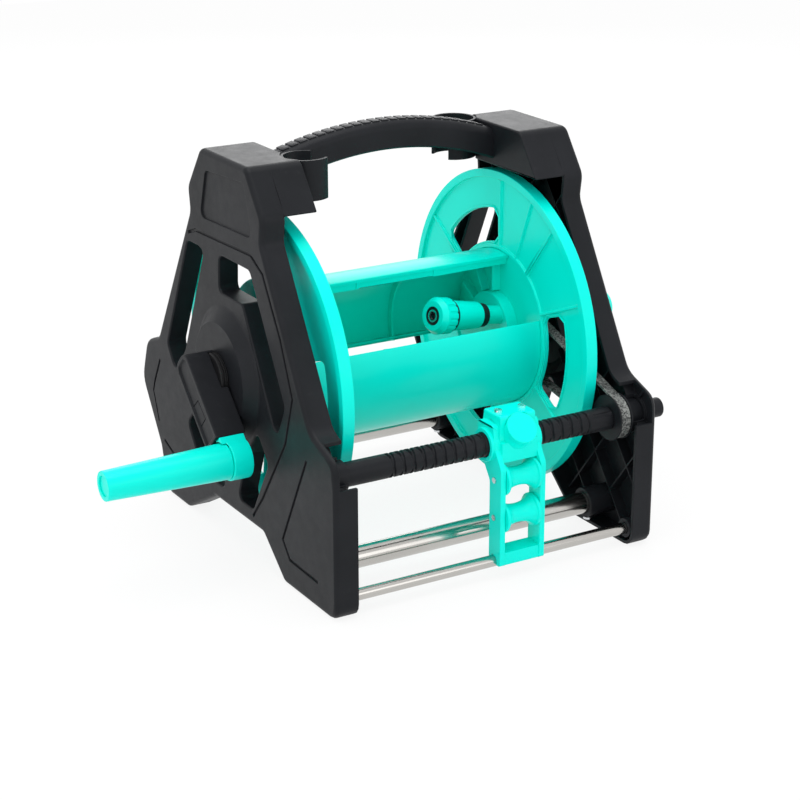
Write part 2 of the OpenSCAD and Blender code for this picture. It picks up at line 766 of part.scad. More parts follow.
// Left drive spindle: bolted to the flange, turns in the bush, carries the crank
module drive_spindle() color(black) placed() mirrored() difference() {
    at(0, axle_z) {
        bar_x(web_x, web_x + 4, hub_pad_r);
        bar_x(flange_x - hub_pad_t, collar_out, drive_r);
        bar_x(collar_out - sink, shaft_out, shaft_r);
    }
    for (i = [0:2]) pin_at(105 + 120 * i, hub_screw_r, 0, half, 2 + fit);
    round_axle(-crank_angle) translate([collar_out + past, shaft_r - 1.5, -drive_r])
        cube([arm_t, drive_r, 2 * drive_r]);
}

module spindle_screws() color(steel) placed() mirrored() for (i = [0:2])
    hub_screw(105 + 120 * i, hub_screw_r, flange_x - hub_pad_t + 1, web_x + 4, 4);

// Hollow right axle: from the manifold through the flange, the pulley and the bush
module water_spindle() color(black) placed() at(0, axle_z) difference() {
    union() {
        bar_x(flange_x - manifold_t + 2, inlet_x - 0.3, spindle_r);
        bar_x(inlet_x - 0.3 - sink, inlet_x + spigot_end, spigot_r);
    }
    bar_x(0, inlet_x + connector_l, water_r);
}

// Points the outlet's shapes, which are drawn along Z from the root, into the drum
module outlet_at(from) translate(outlet_root) rotate([0, outlet_tilt - 90, outlet_tilt])
    translate([0, 0, from]) children();

module outlet_manifold() color(teal) placed() difference() {
    union() {
        at(0, axle_z) bar_x(flange_x - manifold_t, flange_x, manifold_r);
        outlet_at(11) cylinder(h = spigot_l + spigot_end - 11, r = spigot_r);
    }
    at(0, axle_z) {
        bar_x(flange_x - manifold_t + 2, flange_x - 2.5, cavity_r);
        bar_x(flange_x - 5, flange_x + past, spindle_r + fit);
    }
    outlet_at(5) cylinder(h = spigot_l + spigot_end, r = water_r);
    for (i = [0:2]) pin_at(105 + 120 * i, hub_screw_r, flange_x - manifold_t + 3, half, 2 + fit);
}

// Toothed pulley with side discs, drawn along X; teeth are as many grooves in its rim
module pulley(from, to, teeth, bore) {
    rim = teeth * belt_pitch / (2 * PI) - belt_in - belt_gap;
    disc = rim + disc_rise + belt_in;
    difference() {
        union() {
            bar_x(from, to, rim);
            bar_x(disc_in - disc_t, disc_in, disc);
            bar_x(disc_out, disc_out + disc_t, disc);
        }
        for (i = [0:teeth - 1]) rotate([i * 360 / teeth, 0, 0])
            translate([disc_in, rim - 1, -0.7]) cube([disc_out - disc_in, 2, 1.4]);
        bar_x(from - past, to + past, bore);
    }
}

module drum_pulley() color(black) placed() difference() {
    at(0, axle_z) pulley(web_x, disc_out + disc_t, drum_teeth, spindle_r + fit);
    for (i = [0:2]) {
        pin_at(105 + 120 * i, hub_screw_r, 0, half, 2 + fit);
        pin_at(105 + 120 * i, hub_screw_r, web_x + 5, half, 3.6);
    }
}

module pulley_screws() color(steel) placed() for (i = [0:2])
    hub_screw(105 + 120 * i, hub_screw_r, flange_x - manifold_t + 4, web_x + 5, 3.5);

// Crank: a moulded channel with a boss on the spindle
module arm_shape(d) outline(inset([
    [arm_back, -arm_w / 2, 9], [arm_back, arm_w / 2, 9], [-arm_end, arm_w / 2, 0.5], [-arm_end, -arm_w / 2, 0.5]
], d));

module crank_arm() color(black) placed() mirrored() round_axle(-crank_angle) difference() {
    union() {
        difference() {
            slab_x(arm_in, arm_out) arm_shape(0);
            slab_x(arm_in - past, arm_out - 5) arm_shape(arm_wall);
            slab_x(arm_in - past, arm_out - 5) translate([-arm_end - past, arm_wall - arm_w / 2])
                square([arm_wall + 2 * past, arm_w - 2 * arm_wall]);
        }
        bar_x(collar_out + 0.2, arm_out - 4, shaft_r + 4);
        slab_x(collar_out + 0.2, arm_out - 4) translate([0, -1.5]) square([arm_back - arm_wall / 2, 3]);
    }
    slab_x(arm_out - 1.5, arm_out + past) arm_shape(4);
    bar_x(arm_in - past, collar_out + 0.2, collar_r + gap);
    bar_x(arm_in, shaft_out + 0.2, shaft_r + fit);
    translate([(collar_out + shaft_out) / 2, 0, 0]) rotate([-90, 0, 0]) cylinder(h = arm_back + past, r = 2.5 + fit);
    socket_holes();
}

// The grip socket is screwed on from below with two screws side by side
module socket_places() for (side = [-1, 1])
    translate([(socket_in + arm_out - 5) / 2 + side * 5, -arm_end + 6, 0]) rotate([180, 0, 0]) children();

module socket_holes() socket_places() cylinder(h = arm_w, r = 2 + fit);

module crank_collar() color(rubber) placed() mirrored() at(0, axle_z)
    tube_x(hub_face_x + gap, collar_out, collar_r, drive_r + fit);

module crank_screw() color(steel) placed() mirrored() round_axle(-crank_angle)
    translate([(collar_out + shaft_out) / 2, shaft_r - 1.5, 0]) rotate([-90, 0, 0])
        cylinder(h = arm_back - shaft_r, r = 2.5);

// Grip socket: a round boss with a tongue that is screwed into the crank arm
module grip_socket() color(teal) placed() mirrored() round_axle(-crank_angle) {
    back = min(arm_w / 2, socket_r2);
    difference() {
        union() {
            translate([0, -crank_throw, 0]) bar_x(socket_in, grip_in - gap, socket_r2);
            slab_x(socket_in, arm_out - 2) polygon([
                [-arm_end, -back], [-arm_end, back], [-crank_throw, back], [-crank_throw, -back]
            ]);
            slab_x(socket_in, arm_out - 5 - fit) arm_tongue();
        }
        translate([0, -crank_throw, 0]) {
            bar_x(socket_in - past, grip_in, grip_axle_d / 2 + fit);
            bar_x(grip_in - gap, arm_out, grip_d / 2 + 1);
        }
        socket_holes();
    }
}

module arm_tongue() {
    w = arm_w - 2 * arm_wall - 2 * fit;
    translate([-arm_end - sink, -w / 2]) square([tongue_l, w]);
}

module socket_screws() color(steel) placed() mirrored() round_axle(-crank_angle)
    socket_places() {
        translate([0, 0, 3]) cylinder(h = arm_w / 2 - 3 + sink, r = 2);
        translate([0, 0, arm_w / 2]) cylinder(h = 1.6, r = 3.6);
    }

// Steel axle in the socket, with a head that holds the grip
module grip_axle() color(steel) placed() mirrored() round_axle(-crank_angle)
    translate([0, -crank_throw, 0]) {
        bar_x(socket_in, grip_out - recess_l + gap + sink, grip_axle_d / 2);
        bar_x(grip_out - recess_l + gap, grip_out - recess_l + gap + axle_head_t, axle_head_r);
    }

module grip() color(teal) placed() mirrored() round_axle(-crank_angle)
    translate([0, -crank_throw, 0]) difference() {
        cone_x(grip_in, grip_out, grip_d / 2, grip_end_d / 2);
        bar_x(grip_in - past, grip_out, grip_axle_d / 2 + run);
        bar_x(grip_out - recess_l, grip_out + past, plug_r);
        translate([grip_in + 12, -grip_d, -grip_d / 2 + 1])
            rotate([0, atan2((grip_d - grip_end_d) / 2, grip_l), 0]) cube([grip_l, 2 * grip_d, 1]);
    }

module grip_plug() color(teal) placed() mirrored() round_axle(-crank_angle)
    translate([0, -crank_throw, 0]) bar_x(grip_out - 4, grip_out - 1.5, plug_r - fit);

// Lead screw: grooves on its middle, keyways towards the pulley, journals and a tail
screw_r = screw_d / 2;
groove_w = 2.4;
groove_depth = 1.2;
screw_from = -rim_x + gap;
screw_to = disc_in - disc_t - gap;
key_l = 14;
key_from = screw_to - key_l - 4;
tail_r = journal_d / 2 - 2;
cap_in = half + gap;
cap_out = half + 21;

module lead_screw() {
    first = ceil((-95 - carriage_x) / groove_pitch);
    last = floor((100 - carriage_x) / groove_pitch);
    profile = [
        [0, screw_from], [screw_r, screw_from],
        for (i = [first:last]) let (x = carriage_x + i * groove_pitch) each [
            [screw_r, x - groove_w / 2], [screw_r - groove_depth, x - groove_w / 4],
            [screw_r - groove_depth, x + groove_w / 4], [screw_r, x + groove_w / 2]
        ],
        [screw_r, screw_to], [0, screw_to]
    ];
    color(black) placed() at(-screw_y, screw_z) difference() {
        union() {
            rotate([0, 90, 0]) rotate_extrude() polygon(profile);
            bar_x(-bearing_out + gap, screw_from + sink, journal_d / 2);
            bar_x(screw_to - sink, bearing_out, journal_d / 2);
            bar_x(bearing_out - sink, cap_out - 4, tail_r);
        }
        for (a = [0:90:270]) rotate([a + 45, 0, 0]) translate([key_from, screw_r - 1, -1.5]) cube([key_l, 2, 3]);
    }
}

module screw_pulley() color(black) placed() at(-screw_y, screw_z)
    pulley(disc_in - disc_t, bearing_in - gap, screw_teeth, journal_d / 2 + fit);

module screw_cap() color(black) placed() at(-screw_y, screw_z) difference() {
    union() {
        bar_x(cap_in, cap_in + 3, tail_r + 5);
        bar_x(cap_in, cap_out, tail_r + 2.5);
    }
    bar_x(cap_in - past, cap_out - 3.8, tail_r + fit);
}

// Carriage: two side plates, a foot on the guide rod, a sleeve on the lead screw
carriage_profile = [
    [-plate_front, carriage_foot, 2], [-plate_back, carriage_foot, 2], [-plate_back, upper_roller_z - 2, 8],
    [-block_back, screw_z - 2, 6], [-block_back, block_top - 8, 4], [-block_front + 3, block_top - 8, 4],
    [-block_front, screw_z, 6], [-plate_front, screw_z - 16, 8]
];

module carriage() color(teal) placed() translate([carriage_x, 0, 0]) difference() {
    wide = carriage_w / 2;
    bay = wide - plate_t;
    union() {
        for (end = [-1, 1]) scale_x(end) slab_x(bay, wide) outline(carriage_profile);
        slab_x(-bay - sink, bay + sink) outline([
            [-plate_front + 1, carriage_foot, 1], [-plate_back, carriage_foot, 1],
            [-plate_back, cross_bar_z, 2], [-plate_front + 1, cross_bar_z, 2]
        ]);
        translate([-bay - sink, -block_front, screw_z]) cube([2 * bay + 2 * sink, block_front - block_back, block_top - screw_z]);
        translate([-bay - sink, -plate_front + 6, upper_roller_z + roller_end_r + 1])
            cube([2 * bay + 2 * sink, 5, screw_z - upper_roller_z - roller_end_r + 4]);
        at(-screw_y, screw_z) bar_x(-wide, wide, sleeve_d / 2);
        follower_at(0) cylinder(h = follower_boss_l, r = follower_boss_r);
    }
    at(-screw_y, screw_z) bar_x(-wide - past, wide + past, screw_r + run);
    at(-guide_y, guide_z) bar_x(-wide - past, wide + past, guide_d / 2 + run);
    follower_at(0) cylinder(h = follower_boss_l + past, r = follower_r + fit);
    follower_at(follower_boss_l) cylinder(h = block_top - screw_z, r = follower_boss_r + fit);
    for (side = [-1, 1]) translate([side * cap_screw_x, -screw_y - 2, screw_z + screw_r + 4])
        cylinder(h = block_top, r = 2 + fit);
    for (z = [lower_roller_z, upper_roller_z]) at(-guide_y, z) bar_x(-wide - past, wide + past, pin_d / 2 + run);
}
cap_screw_x = 11.5;

// Points shapes drawn along Z away from the lead screw, up and to the front
module follower_at(from) at(-screw_y, screw_z) rotate([90 - follower_tilt, 0, 0]) translate([0, 0, from]) children();

module follower_cap() color(teal) placed() translate([carriage_x, 0, 0]) follower_at(follower_boss_l)
    cylinder(h = follower_cap_t, r = follower_boss_r);

module follower_pin() color(steel) placed() translate([carriage_x, 0, 0]) follower_at(screw_r + gap)
    cylinder(h = follower_boss_l - screw_r - gap, r = follower_r);

module cap_screws() color(steel) placed() for (side = [-1, 1])
    translate([carriage_x + side * cap_screw_x, -screw_y - 2, block_top]) {
        translate([0, 0, -9]) cylinder(h = 9 + sink, r = 2);
        cylinder(h = 2, r = 3.4);
    }

module roller_pins() color(steel) placed() for (z = [lower_roller_z, upper_roller_z])
    translate([carriage_x, -guide_y, z]) bar_x(-carriage_w / 2 - 0.6, carriage_w / 2 + 0.6, pin_d / 2);

// Waisted hose roller
module roller(z) {
    long = carriage_w / 2 - plate_t - gap;
    steps = 8;
    profile = [
        [pin_d / 2 + run, -long], [roller_end_r, -long], [roller_end_r, -long + 3],
        for (i = [0:steps]) let (x = (2 * i / steps - 1) * (long - 3))
            [roller_end_r - (roller_end_r - roller_mid_r) * sqrt(1 - pow(x / (long - 2.5), 2)), x],
        [roller_end_r, long - 3], [roller_end_r, long], [pin_d / 2 + run, long]
    ];
    color(teal) placed() translate([carriage_x, -guide_y, z]) rotate([0, 90, 0]) rotate_extrude() polygon(profile);
}

module upper_roller() roller(upper_roller_z);
module lower_roller() roller(lower_roller_z);

// Hose connector, drawn along Z from the end that is pushed on a spigot
collar_l = 8;
collar_ring_r = spigot_r + 2;
seal_l = 3;
nut_l = 16.5;
body_l = connector_l - collar_l - seal_l - nut_l;
nut_z = connector_l - nut_l;
neck_r = nut_r - 5;
spigot_end = collar_l + body_l / 2;
mouth_r = nut_r / 2;
barb_r = barb_bore_r + 1.5;

module hollow(h, r1, r2, bore) difference() {
    cylinder(h = h, r1 = r1, r2 = r2);
    translate([0, 0, -past]) cylinder(h = h + 2 * past, r = bore);
}

module connector_nut() translate([0, 0, nut_z]) difference() {
    union() {
        cylinder(h = nut_l - 5, r = nut_r);
        translate([0, 0, nut_l - 5 - sink]) cylinder(h = 5 + sink, r1 = nut_r, r2 = nut_r - 3);
    }
    translate([0, 0, -past]) cylinder(h = nut_l / 2 + past, r = neck_r + fit);
    cylinder(h = nut_l + past, r = mouth_r + fit);
    for (i = [0:15]) rotate([0, 0, i * 22.5]) translate([nut_r - 0.8, -0.8, -past]) cube([3, 1.6, nut_l - 6.5]);
}

module connector_gland() translate([0, 0, nut_z + nut_l / 2 - 0.5]) hollow(nut_l / 2 + 0.5, mouth_r, mouth_r, barb_r + fit);
module connector_seal() translate([0, 0, nut_z - seal_l]) hollow(seal_l, nut_r - 1.5, nut_r - 1.5, neck_r + fit);
module connector_collar() hollow(collar_l, collar_ring_r, collar_ring_r, spigot_r + run);

module connector_body() translate([0, 0, collar_l]) difference() {
    union() {
        cylinder(h = body_l, r1 = nut_r - 4, r2 = nut_r - 2.5);
        cylinder(h = body_l + seal_l + nut_l / 2 - 0.7, r = neck_r);
    }
    translate([0, 0, -past]) cylinder(h = spigot_end - collar_l + gap + past, r = spigot_r + run);
    cylinder(h = connector_l, r = barb_r + fit);
}

module connector_barb() translate([0, 0, spigot_end + 2]) hollow(connector_l - spigot_end - 2, barb_r, barb_r, barb_bore_r);

module inlet_at() translate([inlet_x, 0, axle_z]) rotate([0, 90, 0]) children();

module outlet_nut() color(teal) placed() outlet_at(spigot_l) connector_nut();
module outlet_gland() color(rubber) placed() outlet_at(spigot_l) connector_gland();
module outlet_seal() color(rubber) placed() outlet_at(spigot_l) connector_seal();
module outlet_body() color(teal) placed() outlet_at(spigot_l) connector_body();
module outlet_collar() color(rubber) placed() outlet_at(spigot_l) connector_collar();
module outlet_barb() color(steel) placed() outlet_at(spigot_l) connector_barb();
module inlet_nut() color(teal) placed() inlet_at() connector_nut();
module inlet_gland() color(rubber) placed() inlet_at() connector_gland();
module inlet_seal() color(rubber) placed() inlet_at() connector_seal();
module inlet_body() color(teal) placed() inlet_at() connector_body();
module inlet_collar() color(rubber) placed() inlet_at() connector_collar();
module inlet_barb() color(steel) placed() inlet_at() connector_barb();

left_panel();
right_panel();
carry_handle();
handle_screws();
left_clip();
right_clip();
clip_screws();
front_tube();
rear_tube();
tube_screws();
guide_rod();
left_hub_bush();
right_hub_bush();
left_screw_bearing();
right_screw_bearing();
drive_belt();
left_flange();
right_flange();
front_core();
rear_core();
core_screws();
drive_spindle();
spindle_screws();
water_spindle();
outlet_manifold();
drum_pulley();
pulley_screws();
crank_collar();
crank_arm();
crank_screw();
grip_socket();
socket_screws();
grip_axle();
grip();
grip_plug();
lead_screw();
screw_pulley();
screw_cap();
carriage();
follower_cap();
follower_pin();
cap_screws();
roller_pins();
upper_roller();
lower_roller();
outlet_nut();
outlet_gland();
outlet_seal();
outlet_body();
outlet_collar();
outlet_barb();
inlet_nut();
inlet_gland();
inlet_seal();
inlet_body();
inlet_collar();
inlet_barb();
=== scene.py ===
"""A hand-cranked hose reel with a level-wind hose guide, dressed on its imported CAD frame.

Lengths are given in millimetres and become metres in spot() or through MM. X runs along the drum
axle from the crank to the water inlet, the hose guide is at the front (-Y) and Z is up from the
floor.
"""

import json
import math

import bmesh
import bpy
from mathutils import Matrix, Vector

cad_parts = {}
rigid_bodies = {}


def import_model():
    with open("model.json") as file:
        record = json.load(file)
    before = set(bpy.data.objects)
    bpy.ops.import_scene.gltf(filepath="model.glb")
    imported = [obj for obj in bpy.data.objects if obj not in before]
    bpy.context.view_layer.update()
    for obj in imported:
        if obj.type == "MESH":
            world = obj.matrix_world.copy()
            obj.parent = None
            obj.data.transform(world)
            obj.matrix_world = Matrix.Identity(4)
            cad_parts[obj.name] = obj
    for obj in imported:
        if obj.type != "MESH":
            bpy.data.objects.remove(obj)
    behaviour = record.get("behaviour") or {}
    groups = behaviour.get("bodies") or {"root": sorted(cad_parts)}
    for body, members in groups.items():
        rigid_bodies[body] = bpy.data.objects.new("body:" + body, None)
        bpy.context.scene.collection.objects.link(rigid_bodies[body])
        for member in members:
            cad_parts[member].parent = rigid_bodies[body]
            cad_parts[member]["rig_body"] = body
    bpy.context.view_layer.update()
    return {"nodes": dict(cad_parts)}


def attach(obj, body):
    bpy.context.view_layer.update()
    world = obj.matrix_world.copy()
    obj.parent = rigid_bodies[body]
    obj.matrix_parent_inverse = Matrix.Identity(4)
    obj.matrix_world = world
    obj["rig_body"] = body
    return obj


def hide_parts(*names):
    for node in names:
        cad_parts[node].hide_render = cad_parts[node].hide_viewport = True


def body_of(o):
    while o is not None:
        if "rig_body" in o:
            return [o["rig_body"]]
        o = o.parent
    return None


MM = 0.001

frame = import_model()

# Where the main pieces lie: X from the middle between the panels, Y from the axle, Z from the floor
MIDDLE_X = 30.5
PANEL_X, HEAD_X = 155.0, 105.0
AXLE_Z = 154.0
SCREW_Y, SCREW_Z = -158.0, 113.0
CARRIAGE_X = 22.0

# A flange's openings: between two rings about the axle, round three angles
FLANGE_X = 115.0
OPENING_RINGS = 76.0, 106.0
OPENING_ANGLES = -6.0, 117.0, 237.0
OPENING_CORNER = 7.0

# The handle's arch and the grip blocks on its crown
HANDLE_Y, HANDLE_W, HANDLE_H = 9.0, 24.0, 25.0
HANDLE_R, HANDLE_TOP_Z = 327.0, 353.0
BLOCK_PITCH, BLOCK_SIZE = 8.7, (6.7, 12.0, 2.4)

# Radii of a side panel's edges round its outside, its windows and its engraved lines
PANEL_EDGES = 4.6, 1.7, 0.7
HEAD_EDGES = 1.8, 0.7, 0.5


def spot(x, y, z):
    """A point in metres from millimetres about the middle between the panels."""
    return ((x + MIDDLE_X) * MM, y * MM, z * MM)


# Camera and lamps


def photo_camera():
    """The camera at the photograph's viewing angle, for a picture of 800 by 800 pixels."""
    azimuth, elevation, roll = 0.530585, 0.344305, -0.002332
    focal_pixels, frame_pixels, distance = 2027.25, 800, 1.79542
    target = Vector((0.04233, 0.0, 0.10059))
    forward = Vector((
        math.sin(azimuth) * math.cos(elevation),
        math.cos(azimuth) * math.cos(elevation),
        -math.sin(elevation),
    ))
    right = Vector((math.cos(azimuth), -math.sin(azimuth), 0.0))
    up = right.cross(forward)
    side = right * math.cos(roll) + up * math.sin(roll)
    top = up * math.cos(roll) - right * math.sin(roll)
    data = bpy.data.cameras.new("photo_camera")
    data.sensor_width = 36.0
    data.lens = focal_pixels / frame_pixels * data.sensor_width
    data.clip_start = 0.05
    camera = placed("photo_camera", data)
    turn = Matrix((side, top, -forward)).transposed().to_4x4()
    camera.matrix_world = Matrix.Translation(target - forward * distance) @ turn
    bpy.context.scene.camera = camera


def softbox(name, place, aim, size, watts):
    """A square area light at place, turned towards aim."""
    data = bpy.data.lights.new(name, "AREA")
    data.shape = "SQUARE"
    data.size = size
    data.energy = watts
    lamp = placed(name, data)
    lamp.location = place
    lamp.rotation_euler = (Vector(aim) - Vector(place)).to_track_quat("-Z", "Y").to_euler()


def placed(name, data):
    """An object of a mesh, a camera or a lamp, in the scene."""
    item = bpy.data.objects.new(name, data)
    bpy.context.scene.collection.objects.link(item)
    return item


# Shader maths


class Value:
    """A socket's output. Arithmetic on it adds Math nodes."""

    def __init__(self, shader, socket):
        self.shader = shader
        self.socket = socket

    def _math(self, operation, other):
        return self.shader.node("ShaderNodeMath", {"operation": operation}, {0: self, 1: other})

    def __add__(self, other):
        return self._math("ADD", other)

    def __mul__(self, other):
        return self._math("MULTIPLY", other)

    def or_more(self, other):
        """The larger of two values."""
        return self._math("MAXIMUM", other)

    __radd__ = __add__
    __rmul__ = __mul__


class Shader:
    """The nodes of a material or a world."""

    def __init__(self, owner):
        owner.use_nodes = True
        self.nodes = owner.node_tree.nodes
        self.links = owner.node_tree.links

    def node(self, kind, settings=None, inputs=None, out=0):
        """Adds a node: its settings first, then the values or links of its sockets."""
        node = self.nodes.new(kind)
        for name, value in (settings or {}).items():
            setattr(node, name, value)
        for name, value in (inputs or {}).items():
            self.fill(node.inputs[name], value)
        return Value(self, node.outputs[out])

    def fill(self, socket, value):
        """Links a value to a socket, or sets the socket to a constant."""
        if isinstance(value, Value):
            self.links.new(value.socket, socket)
        else:
            socket.default_value = value

    def seen_past_reel(self):
        """1 where the camera, a reflection or a glass looks, 0 for the light on the reel."""
        rays = ("Is Camera Ray", "Is Transmission Ray", "Is Glossy Ray")
        camera, through, glossy = (self.node("ShaderNodeLightPath", out=ray) for ray in rays)
        return camera.or_more(through).or_more(glossy)


class Finish(Shader):
    """One material, built around a Principled BSDF."""

    def __init__(self, name, **constants):
        self.material = bpy.data.materials.new(name)
        super().__init__(self.material)
        self.surface = self.nodes["Principled BSDF"]
        self.set(**constants)
        self.place = self.node("ShaderNodeTexCoord", out="Object")

    def set(self, **inputs):
        """Fills the shader's sockets, named with underscores for spaces."""
        for name, value in inputs.items():
            self.fill(self.surface.inputs[name.replace("_", " ")], value)

    def noise(self, scale, detail=2.0, roughness=0.5, stretch=None):
        """Noise of a size, in features a metre; stretch scales the three axes."""
        place = self.place
        if stretch:
            place = self.node(
                "ShaderNodeMapping", {}, {"Vector": self.place, "Scale": stretch}, out="Vector"
            )
        return self.node(
            "ShaderNodeTexNoise", {"noise_dimensions": "3D"},
            {"Vector": place, "Scale": scale, "Detail": detail, "Roughness": roughness}, out="Fac",
        )

    def between(self, factor, low, high, low_out=0.0, high_out=1.0):
        """Maps a factor's range to another range, kept inside it."""
        ends = {"From Min": low, "From Max": high, "To Min": low_out, "To Max": high_out}
        return self.node("ShaderNodeMapRange", {"clamp": True}, {"Value": factor, **ends}, "Result")

    def mix(self, factor, first, second):
        """Mixes two colours; sockets 6 and 7 are the Mix node's colours."""
        first, second = (
            colour if isinstance(colour, Value) else (*colour, 1.0) for colour in (first, second)
        )
        return self.node(
            "ShaderNodeMix", {"data_type": "RGBA"}, {"Factor": factor, 6: first, 7: second}, out=2
        )

    def bump(self, height, distance):
        """Raises the surface by a height of a given depth, in metres."""
        self.set(Normal=self.node(
            "ShaderNodeBump", {}, {"Height": height, "Distance": distance}, out="Normal"
        ))


# Finishes


def moulded_black(name, grain_depth):
    """Fine-grained black plastic with slight bloom in its tone."""
    finish = Finish(name, IOR=1.48, Specular_IOR_Level=0.15)
    grain = finish.noise(1500.0, 2.0, 0.6)
    cloud = finish.noise(14.0, 4.0, 0.6)
    scuff = finish.noise(90.0, 6.0, 0.7)
    tone = finish.mix(
        finish.between(cloud, 0.35, 0.7), (0.008, 0.009, 0.011), (0.013, 0.014, 0.017)
    )
    worn = finish.between(scuff, 0.62, 0.8, 0.0, 0.5)
    finish.set(
        Base_Color=finish.mix(worn, tone, (0.026, 0.027, 0.029)),
        Roughness=finish.between(scuff + grain * 0.3, 0.3, 1.0, 0.34, 0.5),
    )
    finish.bump(grain, grain_depth)
    return finish.material


def glossy_teal(name):
    """Smooth teal plastic, slightly deeper where the moulding flowed."""
    finish = Finish(name, IOR=1.49, Specular_IOR_Level=0.12, Coat_Roughness=0.1)
    flow = finish.noise(7.0, 3.0, 0.55)
    ripple = finish.noise(420.0, 2.0, 0.5)
    finish.set(
        Base_Color=finish.mix(
            finish.between(flow, 0.3, 0.7), (0.0, 0.78, 0.655), (0.0, 0.84, 0.71)
        ),
        Roughness=finish.between(flow + ripple * 0.2, 0.3, 0.9, 0.26, 0.36),
        Coat_Weight=0.06,
    )
    finish.bump(ripple, 0.00002)
    return finish.material


def polished_steel(name):
    """Drawn stainless tube, polished along its length."""
    finish = Finish(name, Metallic=1.0)
    lines = finish.noise(900.0, 3.0, 0.7, stretch=(0.02, 1.0, 1.0))
    haze = finish.noise(25.0, 3.0)
    finish.set(
        Base_Color=finish.mix(haze, (0.46, 0.445, 0.42), (0.56, 0.545, 0.52)),
        Roughness=finish.between(lines + haze * 0.4, 0.4, 1.1, 0.12, 0.26),
    )
    finish.bump(lines, 0.000004)
    return finish.material


def plated_steel(name, tone):
    """Plated screws and pins, faintly mottled."""
    finish = Finish(name, Metallic=1.0)
    spots = finish.noise(380.0, 4.0, 0.6)
    finish.set(
        Base_Color=finish.mix(spots, tone, tuple(min(1.0, part * 1.15) for part in tone)),
        Roughness=finish.between(spots, 0.3, 0.7, 0.18, 0.34),
    )
    finish.bump(spots, 0.00001)
    return finish.material


def belt_fabric(name):
    """The belt's woven face, dark with pale flecks."""
    finish = Finish(name, IOR=1.5, Specular_IOR_Level=0.25)
    fleck = finish.noise(620.0, 3.0, 0.75)
    wear = finish.noise(120.0, 3.0, 0.6)
    pale = finish.between(fleck + wear * 0.35, 0.6, 0.78)
    finish.set(
        Base_Color=finish.mix(pale, (0.016, 0.017, 0.018), (0.24, 0.25, 0.24)),
        Roughness=finish.between(fleck, 0.3, 0.7, 0.5, 0.75),
    )
    finish.bump(fleck, 0.00012)
    return finish.material


def moulded_rubber(name):
    """Black rubber, a little dusty."""
    finish = Finish(name, IOR=1.5, Specular_IOR_Level=0.2)
    grain = finish.noise(1100.0, 3.0, 0.6)
    dust = finish.noise(60.0, 4.0)
    dusty = finish.between(dust, 0.4, 0.75)
    finish.set(
        Base_Color=finish.mix(dusty, (0.007, 0.007, 0.008), (0.016, 0.016, 0.017)),
        Roughness=finish.between(dust, 0.3, 0.7, 0.42, 0.6),
    )
    finish.bump(grain, 0.00004)
    return finish.material


# Meshes


def piece(name, mesh, material, body, stands_for=()):
    """An object that rides a body and stands for CAD nodes."""
    item = placed(name, mesh)
    mesh.materials.clear()
    mesh.materials.append(material)
    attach(item, body)
    if stands_for:
        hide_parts(*stands_for)


def finish_node(node, material):
    """Gives a CAD node that keeps its shape its material."""
    item = frame["nodes"][node]
    if not item.material_slots:
        item.data.materials.append(material)
    for slot in item.material_slots:
        slot.material = material


def baked(bm, name):
    """A mesh from a bmesh, which is freed."""
    mesh = bpy.data.meshes.new(name)
    bm.to_mesh(mesh)
    bm.free()
    return mesh


def finished(item):
    """The plain mesh of an object with its modifiers applied, the object removed."""
    evaluated = item.evaluated_get(bpy.context.evaluated_depsgraph_get())
    mesh = bpy.data.meshes.new_from_object(evaluated)
    source = item.data
    bpy.data.objects.remove(item)
    bpy.data.meshes.remove(source)
    return mesh


def shade(mesh, degrees=32.0):
    """Smooth shading, with the edges sharper than an angle left crisp."""
    mesh.polygons.foreach_set("use_smooth", [True] * len(mesh.polygons))
    mesh.set_sharp_from_angle(angle=math.radians(degrees))


def even_shading(mesh):
    """Shading in which the flat faces stay flat beside their rounded edges."""
    shade(mesh)
    item = placed(mesh.name, mesh)
    item.modifiers.new("normals", "WEIGHTED_NORMAL").keep_sharp = True
    return finished(item)


def rounded(item, width, segments=2):
    """Gives an object a bevel modifier and returns it."""
    bevel = item.modifiers.new("edges", "BEVEL")
    bevel.width = width
    bevel.segments = segments
    return bevel


def carved(name, mesh, *cutters):
    """A mesh with closed cutter meshes taken out of it."""
    item = placed(name, mesh)
    tools = [placed(name + "_cutter", cutter) for cutter in cutters]
    for tool in tools:
        cut = item.modifiers.new("cut", "BOOLEAN")
        cut.operation = "DIFFERENCE"
        cut.solver = "EXACT"
        cut.object = tool
    result = finished(item)
    for tool, cutter in zip(tools, cutters):
        bpy.data.objects.remove(tool)
        bpy.data.meshes.remove(cutter)
    result.name = name
    return result


def skin(name, rings):
    """A closed mesh over rings of equally many points."""
    bm = bmesh.new()
    loops = [[bm.verts.new(point) for point in ring] for ring in rings]
    count = len(loops[0])
    for one, two in zip(loops, loops[1:]):
        for i in range(count):
            j = (i + 1) % count
            bm.faces.new((one[i], one[j], two[j], two[i]))
    bm.faces.new(loops[0])
    bm.faces.new(loops[-1])
    bmesh.ops.recalc_face_normals(bm, faces=bm.faces)
    return baked(bm, name)


def turned(name, axis_y, axis_z, profile, around=96):
    """A ring turned about a line along X, from a closed profile of (x, radius)."""
    bm = bmesh.new()
    rows = []
    for i in range(around):
        a = math.tau * i / around
        rows.append([
            bm.verts.new(spot(x, axis_y + r * math.cos(a), axis_z + r * math.sin(a)))
            for x, r in profile
        ])
    for i, row in enumerate(rows):
        after = rows[(i + 1) % around]
        for j in range(len(profile)):
            k = (j + 1) % len(profile)
            bm.faces.new((row[j], row[k], after[k], after[j]))
    bmesh.ops.recalc_face_normals(bm, faces=bm.faces)
    mesh = baked(bm, name)
    shade(mesh, 30.0)
    return mesh


